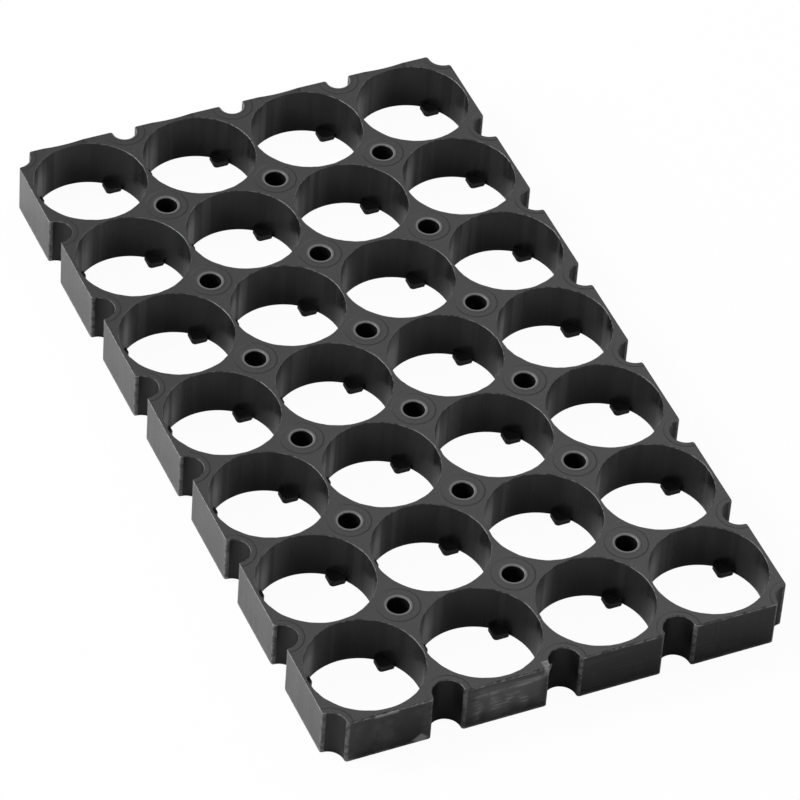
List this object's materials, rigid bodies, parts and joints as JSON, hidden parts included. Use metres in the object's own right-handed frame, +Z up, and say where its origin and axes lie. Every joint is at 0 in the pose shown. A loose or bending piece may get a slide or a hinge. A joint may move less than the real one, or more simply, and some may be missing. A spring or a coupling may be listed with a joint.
{
  "type": "battery cell holder bracket",
  "caption": "One-piece moulded black plastic bracket that holds a grid of upright cylindrical cells, with screw holes in the webs between them.",
  "frame": {"origin": "centre of the footprint, on the underside that the bracket rests on", "axes": "+Z up through the bores towards the side the cells go in from, +X across the four columns, +Y along the seven rows towards the end with the narrower notches"},
  "size_m": [0.0766, 0.1342, 0.0087],
  "materials": {
    "black_plastic": "satin moulded, with fine scuffs"
  },
  "bodies": {
    "root": {"cell_bracket": "black_plastic"}
  },
  "joints": []
}
